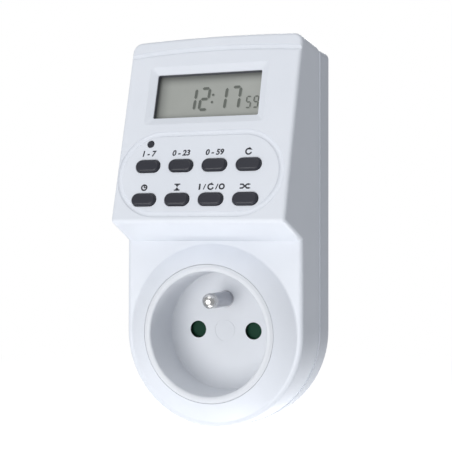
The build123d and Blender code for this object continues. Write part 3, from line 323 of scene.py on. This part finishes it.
glass, bench, spot = new_finish("display_glass_film")
mottle = noise(bench, spot, 150.0, 5.0, 0.65)
pearl = noise(bench, spot, 6000.0, 2.0)
# Painted shadow: the film darkens towards its left and upper edges, where the frame shades it.
from_left = eased(bench, coordinate(bench, spot, "X"), *painted_shade_left)
from_top = eased(bench, coordinate(bench, spot, "Z"), *painted_shade_top)
film = blended(bench, mottle * 0.7 + pearl * 0.3, tint("a1a39d"), tint("aeb0aa"))
coat(bench, {
    "Base Color": blended(bench, from_left * from_top, tint("6b6d69"), film),
    "Roughness": 0.3 + (mottle - 0.5) * 0.1,
    "Coat Weight": 0.3 + (mottle - 0.5) * 0.1,
    "Coat Roughness": 0.06,
    "Normal": bump(bench, 0.05, 0.00002, pearl),
})
dress(glass, "display_glass")
dress(moulded("dark_frame_plastic", "56585f", "62646b", 0.5, 3800.0, 0.15), "display_frame")


def on_case(name, mesh, finish):
    # A new mesh piece that rides on the case
    mesh.materials.clear()
    mesh.materials.append(finish)
    piece = bpy.data.objects.new(name, mesh)
    bpy.context.scene.collection.objects.link(piece)
    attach(piece, "case")


def slabs(name, outlines, low, high):
    # Mesh of flat outlines in panel millimetres, raised to thin slabs
    points, faces = [], []
    for outline in outlines:
        first, count = len(points), len(outline)
        points += [on_panel(x, s, high) for x, s in outline] + [on_panel(x, s, low) for x, s in outline]
        faces.append(tuple(range(first, first + count)))
        for k in range(count):
            following = (k + 1) % count
            faces.append((first + k, first + count + k, first + count + following, first + following))
    mesh = bpy.data.meshes.new(name)
    mesh.from_pydata(points, [], faces)
    return mesh


lit_bars = {"1": "bc", "2": "abged", "5": "afgcd", "7": "abc", "9": "abcdfg"}


def digit(shown, right, low, width, tall, stroke):
    # Outlines of the dark bars of one seven-bar digit; right is its upper right corner
    half, gap = stroke / 2, bar_gap + stroke * bar_gap_share
    left, mid, top = right - width, low + tall / 2, low + tall

    def bar(a, b):
        (ax, ay), (bx, by) = a, b
        length = math.hypot(bx - ax, by - ay)
        ux, uy = (bx - ax) / length, (by - ay) / length
        ax, ay, bx, by = ax + ux * gap, ay + uy * gap, bx - ux * gap, by - uy * gap
        nx, ny = -uy * half, ux * half
        shape = [
            (ax, ay), (ax + ux * half - nx, ay + uy * half - ny), (bx - ux * half - nx, by - uy * half - ny),
            (bx, by), (bx - ux * half + nx, by - uy * half + ny), (ax + ux * half + nx, ay + uy * half + ny),
        ]
        return [(x + (s - top) * digit_lean, s) for x, s in shape]

    l, r, b, t = left + half, right - half, low + half, top - half
    spans = {
        "a": ((l, t), (r, t)), "b": ((r, mid), (r, t)), "c": ((r, b), (r, mid)), "d": ((l, b), (r, b)),
        "e": ((l, b), (l, mid)), "f": ((l, mid), (l, t)), "g": ((l, mid), (r, mid)),
    }
    return [bar(*spans[name]) for name in lit_bars[shown]]


def dot(x, s, r, count=16):
    turns = [2 * math.pi * k / count for k in range(count)]
    return [(x + r * math.cos(turn), s + r * math.sin(turn)) for turn in turns]


def printed(name, dark, pale, rough, fleck_scale):
    # A thin film of ink, of dark crystal or of painted shadow, with a fine fleck in it
    finish, bench, spot = new_finish(name)
    fleck = noise(bench, spot, fleck_scale, 3.0)
    coat(bench, {
        "Base Color": blended(bench, fleck, tint(dark), tint(pale)),
        "Roughness": rough + (fleck - 0.5) * 0.15,
    })
    return finish


shown_bars = []
for sign, right in digit_rights:
    shown_bars += digit(sign, right, low=37.05, width=3.6, tall=8.0, stroke=0.92)
for sign, right in second_rights:
    shown_bars += digit(sign, right, low=37.35, width=1.85, tall=4.1, stroke=0.45)
shown_bars += [dot(x, s, colon_r) for x, s in colon_dots]
# The shade bars are a painted shadow: a paler copy of the digits, set off down and to the right.
shade_bars = [[(x + shade_across, s + shade_down) for x, s in outline] for outline in shown_bars]
bar_film = printed("display_bars", "5c605a", "6a6e67", 0.3, 3200.0)
shade_film = printed("display_bar_shade", "91948d", "9b9e97", 0.3, 3200.0)
for name, outlines, height, finish in (("display_digits", shown_bars, digit_height, bar_film),
                                       ("display_digit_shade", shade_bars, shade_height, shade_film)):
    on_case(name, slabs(name, outlines, -glass_depth, -glass_depth + height), finish)

# Control board: a green laminate on posts behind the panel with its screws,
# the covered controller chip, the clock crystal and the rubber connector.


def laminate(name, dark, pale, pad):
    # Printed board: lacquered laminate with square copper runs showing through
    run_scale, run_spread, run_depth = 260.0, 0.55, 0.00003
    bare, copper = (0.0, 0.0, 0.0, 1.0), (1.0, 1.0, 1.0, 1.0)
    run_edges = [(0.30, bare), (0.34, copper), (0.46, copper), (0.50, bare)]
    finish, bench, spot = new_finish(name)
    weave = noise(bench, spot, 2600.0, 3.0)
    runs = bench.node("TexVoronoi", {"distance": "MANHATTAN", "feature": "F1"},
                      {"Vector": spot, "Scale": run_scale, "Randomness": run_spread})
    track = bench.node("ValToRGB", {"stops": run_edges}, {0: runs})
    base = blended(bench, weave, tint(dark), tint(pale))
    coat(bench, {
        "Base Color": blended(bench, track * 0.7, base, tint(pad)),
        "Roughness": 0.3 + weave * 0.15,
        "Normal": bump(bench, 0.25, run_depth, track),
    })
    return finish


dress(laminate("green_board", "0f4a2c", "17603a", "3b8355"), "control_board")
panel_zinc = turned("panel_screw_steel", "8a8c90", "b9bbc0", 0.36, 42000.0, socket_middle, backwards)
dress(panel_zinc, "panel_screws")
dress(moulded("chip_resin", "17181a", "212225", 0.55, 2600.0, 0.3), "controller_chip")
can_corner, can_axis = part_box("clock_crystal")[0].to_tuple(), (1.0, 0.0, 0.0)
dress(turned("crystal_can", "a7a9ad", "d0d2d6", 0.24, 38000.0, can_corner, can_axis), "clock_crystal")

zebra, bench, spot = new_finish("striped_rubber")
stripe = bench.node("Math", {"operation": "SINE"}, {0: coordinate(bench, spot, "X") * 30000.0}) * 0.5 + 0.5
coat(bench, {
    "Base Color": blended(bench, stripe, tint("202124"), tint("b9b4ab")),
    "Roughness": 0.55 + stripe * 0.15,
})
dress(zebra, "zebra_strip")

# Keys: eight obround keys and the small sunken reset key, moulded in dark grey
# plastic, resting on domes of one pale silicone sheet.

key_names = ["clock", "timer", "output", "random", "week", "hour", "minute", "recall"]
key_plastic = moulded("dark_key_plastic", "25262e", "2f303a", 0.4, 4200.0, 0.1)
dress(key_plastic, "reset_key", *("key_" + name for name in key_names))
dress(moulded("silicone_sheet", "b9bcc0", "c9ccd0", 0.6, 2400.0, 0.2), "keypad_sheet")

# Key marks: plain signs printed on the panel above each key with dark ink.
# They say what a key sets: days, hours, minutes, a clock, a timer and so on.

mark_columns = [x - 0.4 for x in (-17.87, -6.79, 4.29, 15.37)]
upper_marks, lower_marks = 22.15, 11.15
ink_height = 0.03
line_w = 0.46
thin_line_w, slash_w, bar_w = line_w * 0.8, line_w * 0.7, line_w * 1.2
figure_tall, figure_tall_share = 1.75, 0.7
ink = printed("dark_print", "2a2b31", "383941", 0.5, 5200.0)


def stroke_line(points, width):
    # Outlines of a line of even width, one four-sided piece for each run
    lap_share = 0.4
    pieces = []
    for (ax, ay), (bx, by) in zip(points, points[1:]):
        length = math.hypot(bx - ax, by - ay)
        ux, uy = (bx - ax) / length * width / 2, (by - ay) / length * width / 2
        lx, ly = ux * lap_share, uy * lap_share
        pieces.append([
            (ax - lx + uy, ay - ly - ux), (bx + lx + uy, by + ly - ux),
            (bx + lx - uy, by + ly + ux), (ax - lx - uy, ay - ly + ux),
        ])
    return pieces


def arc(x, s, r, start, end, count=14):
    angles = [math.radians(start + (end - start) * k / count) for k in range(count + 1)]
    return [(x + r * math.cos(a), s + r * math.sin(a)) for a in angles]


def ring(x, s, r):
    return stroke_line(arc(x, s, r, 0, 360, 24), line_w)


def arrow_tip(x, s, angle, size):
    a, spread = math.radians(angle), math.radians(140)
    return [[(x + size * math.cos(a + turn), s + size * math.sin(a + turn)) for turn in (0, spread, -spread)]]


def circle_arrow(x, s, r, tip_x, tip_s, tip_size):
    return stroke_line(arc(x, s, r, 65, 340), line_w) + arrow_tip(x + tip_x, s + tip_s, -25, tip_size)


def figures(name, text, x, s):
    # Printed numbers: a flat text set on the panel and turned into a mesh
    words = bpy.data.curves.new(name, "FONT")
    words.body = text
    words.size = figure_tall / figure_tall_share
    words.shear = 0.15
    words.offset = 0.09
    words.align_x = "CENTER"
    words.align_y = "CENTER"
    words.extrude = ink_height / 2
    words.resolution_u = 4
    carrier = bpy.data.objects.new(name + "_text", words)
    bpy.context.scene.collection.objects.link(carrier)
    mesh = bpy.data.meshes.new_from_object(carrier.evaluated_get(bpy.context.evaluated_depsgraph_get()))
    bpy.data.objects.remove(carrier)
    for vertex in mesh.vertices:
        vx, vy, vz = vertex.co
        vertex.co = on_panel(x + vx, s + vy, ink_height / 2 + vz)
    on_case(name, mesh, ink)


number_marks = (("mark_week", "1 - 7"), ("mark_hour", "0 - 23"), ("mark_minute", "0 - 59"))
for (name, text), x in zip(number_marks, mark_columns):
    figures(name, text, x, upper_marks)

first_x, second_x, third_x, last_x = mark_columns
recall = circle_arrow(last_x, upper_marks, 0.9, 0.5, 0.78, 0.72)

clock = ring(first_x, lower_marks, 0.85)
hands = [(first_x, lower_marks + 0.6), (first_x, lower_marks), (first_x + 0.45, lower_marks)]
clock += stroke_line(hands, thin_line_w)

timer = []
for side in (1, -1):
    base, lid = lower_marks + side * 0.9, lower_marks + side * 0.95
    timer.append([(second_x - side * 0.75, base), (second_x, lower_marks), (second_x + side * 0.75, base)])
    timer += stroke_line([(second_x - 0.9, lid), (second_x + 0.9, lid)], thin_line_w)

output = stroke_line([(third_x - 3.6, lower_marks - 0.85), (third_x - 3.6, lower_marks + 0.85)], bar_w)
output += circle_arrow(third_x, lower_marks, 0.85, 0.48, 0.74, 0.66)
output += ring(third_x + 3.6, lower_marks, 0.75)
for slash_x in (third_x - 2.0, third_x + 2.0):
    output += stroke_line([(slash_x - 0.3, lower_marks - 0.8), (slash_x + 0.3, lower_marks + 0.8)], slash_w)

cross_runs = (
    ((-1.6, -0.6), (-0.8, -0.6), (0.6, 0.6), (1.2, 0.6)),
    ((-1.6, 0.6), (-0.8, 0.6), (-0.3, 0.17)),
    ((0.1, -0.17), (0.6, -0.6), (1.2, -0.6)),
)
cross = []
for run in cross_runs:
    cross += stroke_line([(last_x + x, lower_marks + s) for x, s in run], line_w)
for s in (0.6, -0.6):
    cross += arrow_tip(last_x + 1.35, lower_marks + s, 0, 0.5)

for name, outlines in (("mark_recall", recall), ("mark_clock", clock), ("mark_timer", timer),
                       ("mark_output", output), ("mark_random", cross)):
    on_case(name, slabs(name, outlines, 0.0, ink_height), ink)

# Power board: a brown laminate on posts of the rear cover with the relay, the
# capacitors, the battery and the small parts that stand on it.

dress(laminate("brown_board", "7d5a2b", "95703a", "a98a4e"), "power_board")
board_zinc = turned("board_screw_steel", "8a8c90", "b9bbc0", 0.36, 42000.0, socket_middle, backwards)
dress(board_zinc, "board_screws")
dress(moulded("relay_case", "16324f", "1f4166", 0.35, 2600.0, 0.12), "relay")
dress(moulded("film_capacitor_case", "8f5a1c", "a86d28", 0.4, 2600.0, 0.15), "film_capacitor")
dress(moulded("varistor_coat", "1e4f86", "2a63a2", 0.45, 1800.0, 0.35), "varistor")
dress(moulded("bridge_resin", "1a1b1d", "252629", 0.5, 2600.0, 0.3), "bridge_rectifier")
cell_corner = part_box("backup_battery")[0].to_tuple()
dress(turned("battery_steel", "a5a7aa", "cfd1d4", 0.3, 26000.0, cell_corner, backwards), "backup_battery")

stripe_above, stripe_deep = 0.0012, 0.003
low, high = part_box("smoothing_capacitor")
can, bench, spot = new_finish("capacitor_sleeve")
cloud = noise(bench, spot, 400.0, 3.0)
stripe = coordinate(bench, spot, "Z") > (low.z + high.z) / 2 + stripe_above
stripe = stripe * (coordinate(bench, spot, "Y") < low.y + stripe_deep)
sleeve = blended(bench, cloud, tint("15202f"), tint("1f2d40"))
coat(bench, {
    "Base Color": blended(bench, stripe, sleeve, tint("aeb4bb")),
    "Roughness": 0.32 + cloud * 0.12,
})
dress(can, "smoothing_capacitor")

band_share = 0.08
bands = ((0.2, "6b2f18"), (0.36, "17181a"), (0.52, "c7731f"), (0.74, "b08a3a"))
low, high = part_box("limiting_resistor")
length = high - low
axis = max(range(3), key=lambda k: length[k])
resistor, bench, spot = new_finish("resistor_lacquer")
share = (coordinate(bench, spot, "XYZ"[axis]) - low[axis]) / length[axis]
cloud = noise(bench, spot, 900.0, 3.0)
colour = blended(bench, cloud, tint("9aa7a6"), tint("adbab8"))
for start, band in bands:
    inside = (share > start) * (share < start + band_share)
    colour = blended(bench, inside, colour, tint(band))
coat(bench, {"Base Color": colour, "Roughness": 0.35 + cloud * 0.15})
dress(resistor, "limiting_resistor")

# Wires: three short insulated wires from the contacts to the power board and a
# grey ribbon between the two boards, all soldered and lying inside the case.

for node, dark, pale in (("line_wire", "4a2a16", "5c361e"), ("load_wire", "17181b", "232428"),
                         ("neutral_wire", "1b3f7a", "264f92")):
    dress(moulded(node + "_sleeve", dark, pale, 0.42, 2400.0, 0.1), node)

core_pitch = 0.00127
ribbon, bench, spot = new_finish("ribbon_sleeve")
wave = coordinate(bench, spot, "X") * (2 * math.pi / core_pitch)
ridge = bench.node("Math", {"operation": "SINE"}, {0: wave}) * 0.5 + 0.5
coat(bench, {
    "Base Color": blended(bench, ridge, tint("6d6f73"), tint("96989c")),
    "Roughness": 0.5 + ridge * 0.1,
    "Normal": bump(bench, 0.6, 0.0002, ridge),
})
dress(ribbon, "ribbon_cable")

# Table: a pale board under the timer that fades into the white room. It is lit
# by five soft lamps: from the front, from below, from above and two from behind.

floor_gap, reach = 0.0002, 6.0
floor_z = solid_low.z - floor_gap
table_middle, fade_start, fade_end = (0.0, -0.03, floor_z), 0.05, 0.22
pure_white = (1.0, 1.0, 1.0, 1.0)


def seen_direct(bench):
    # Mask of the rays that come from the camera, straight or through glass
    rays = bench.node("LightPath", out="Is Camera Ray")
    through = bench.node("LightPath", out="Is Transmission Ray")
    return bench.node("Math", {"operation": "MAXIMUM"}, {0: rays, 1: through})


corners = [(x * reach, y * reach, floor_z) for x, y in ((-1, -1), (1, -1), (1, 1), (-1, 1))]
plate = bpy.data.meshes.new("table")
plate.from_pydata(corners, [], [(0, 1, 2, 3)])
table, bench, spot = new_finish("pale_table")
away = bench.node("VectorMath", {"operation": "SUBTRACT"}, {0: spot, 1: table_middle})
far = bench.node("VectorMath", {"operation": "LENGTH"}, {0: away}, out="Value")
lit = bench.node("BsdfDiffuse", sockets={"Color": (0.30, 0.30, 0.31, 1.0)})
glow = bench.node("Emission", sockets={"Color": pure_white, "Strength": 0.88})
near = bench.node("AddShader", sockets={0: lit, 1: glow})
white = bench.node("Emission", sockets={"Color": pure_white, "Strength": 1.0})
shown = bench.node("MixShader", sockets={0: eased(bench, far, fade_start, fade_end), 1: near, 2: white})
board = bench.node("BsdfDiffuse", sockets={"Color": (0.62, 0.63, 0.65, 1.0)})
surface = bench.node("MixShader", sockets={0: seen_direct(bench), 1: board, 2: shown})
bench.node("OutputMaterial", sockets={"Surface": surface})
plate.materials.append(table)
floor = bpy.data.objects.new("table", plate)
bpy.context.scene.collection.objects.link(floor)
floor.visible_shadow = False
floor.visible_glossy = False

world = bpy.data.worlds.new("white_room")
bpy.context.scene.world = world
world.use_nodes = True
world.node_tree.nodes.clear()
bench = Tap(world.node_tree)
room = bench.node("Background", sockets={"Color": (0.93, 0.96, 1.0, 1.0), "Strength": 0.41})
white = bench.node("Background", sockets={"Color": pure_white, "Strength": 1.0})
surface = bench.node("MixShader", sockets={0: seen_direct(bench), 1: room, 2: white})
bench.node("OutputWorld", sockets={"Surface": surface})

lamp_aim, lamp_distance = Vector((0.0, -0.03, 0.03)), 1.1


def lamp(name, azimuth, elevation, width, power):
    # Soft round lamp that looks at the middle of the timer
    light = bpy.data.lights.new(name, "AREA")
    light.shape = "DISK"
    light.size = width
    light.energy = power
    light.color = (1.0, 1.0, 1.0)
    holder = bpy.data.objects.new(name, light)
    a, e = math.radians(azimuth), math.radians(elevation)
    away = Vector((math.sin(a) * math.cos(e), -math.cos(a) * math.cos(e), math.sin(e)))
    holder.location = lamp_aim + away * lamp_distance
    holder.rotation_mode = "QUATERNION"
    holder.rotation_quaternion = away.to_track_quat("Z", "Y")
    holder.visible_camera = False
    bpy.context.scene.collection.objects.link(holder)


lamp("front_lamp", azimuth=-12.0, elevation=-13.5, width=0.8, power=6.6)
lamp("low_lamp", azimuth=8.0, elevation=-82.0, width=0.6, power=5.5)
lamp("high_lamp", azimuth=-8.0, elevation=55.0, width=0.8, power=2.0)
lamp("back_lamp", azimuth=198.0, elevation=20.0, width=0.5, power=4.5)
lamp("foot_lamp", azimuth=180.0, elevation=-54.0, width=0.5, power=8.0)

# Camera: a long lens level with the socket, about a third of a metre away and
# some twenty degrees to the right of it.

camera_place = (0.130296, -0.360014, 0.030955)
camera_pitch, camera_turn, camera_roll = (math.radians(a) for a in (90.39, 21.586, 0.05))
camera_data = bpy.data.cameras.new("camera")
camera_data.lens = 87.844
camera_data.sensor_width = 36.0
camera_data.clip_start, camera_data.clip_end = 0.01, 50.0
camera = bpy.data.objects.new("camera", camera_data)
look = Euler((camera_pitch, 0.0, camera_turn)).to_matrix() @ Matrix.Rotation(camera_roll, 3, "Z")
camera.matrix_world = Matrix.Translation(camera_place) @ look.to_4x4()
bpy.context.scene.collection.objects.link(camera)
bpy.context.scene.camera = camera
bpy.context.scene.view_settings.view_transform = "Standard"

bpy.context.view_layer.update()
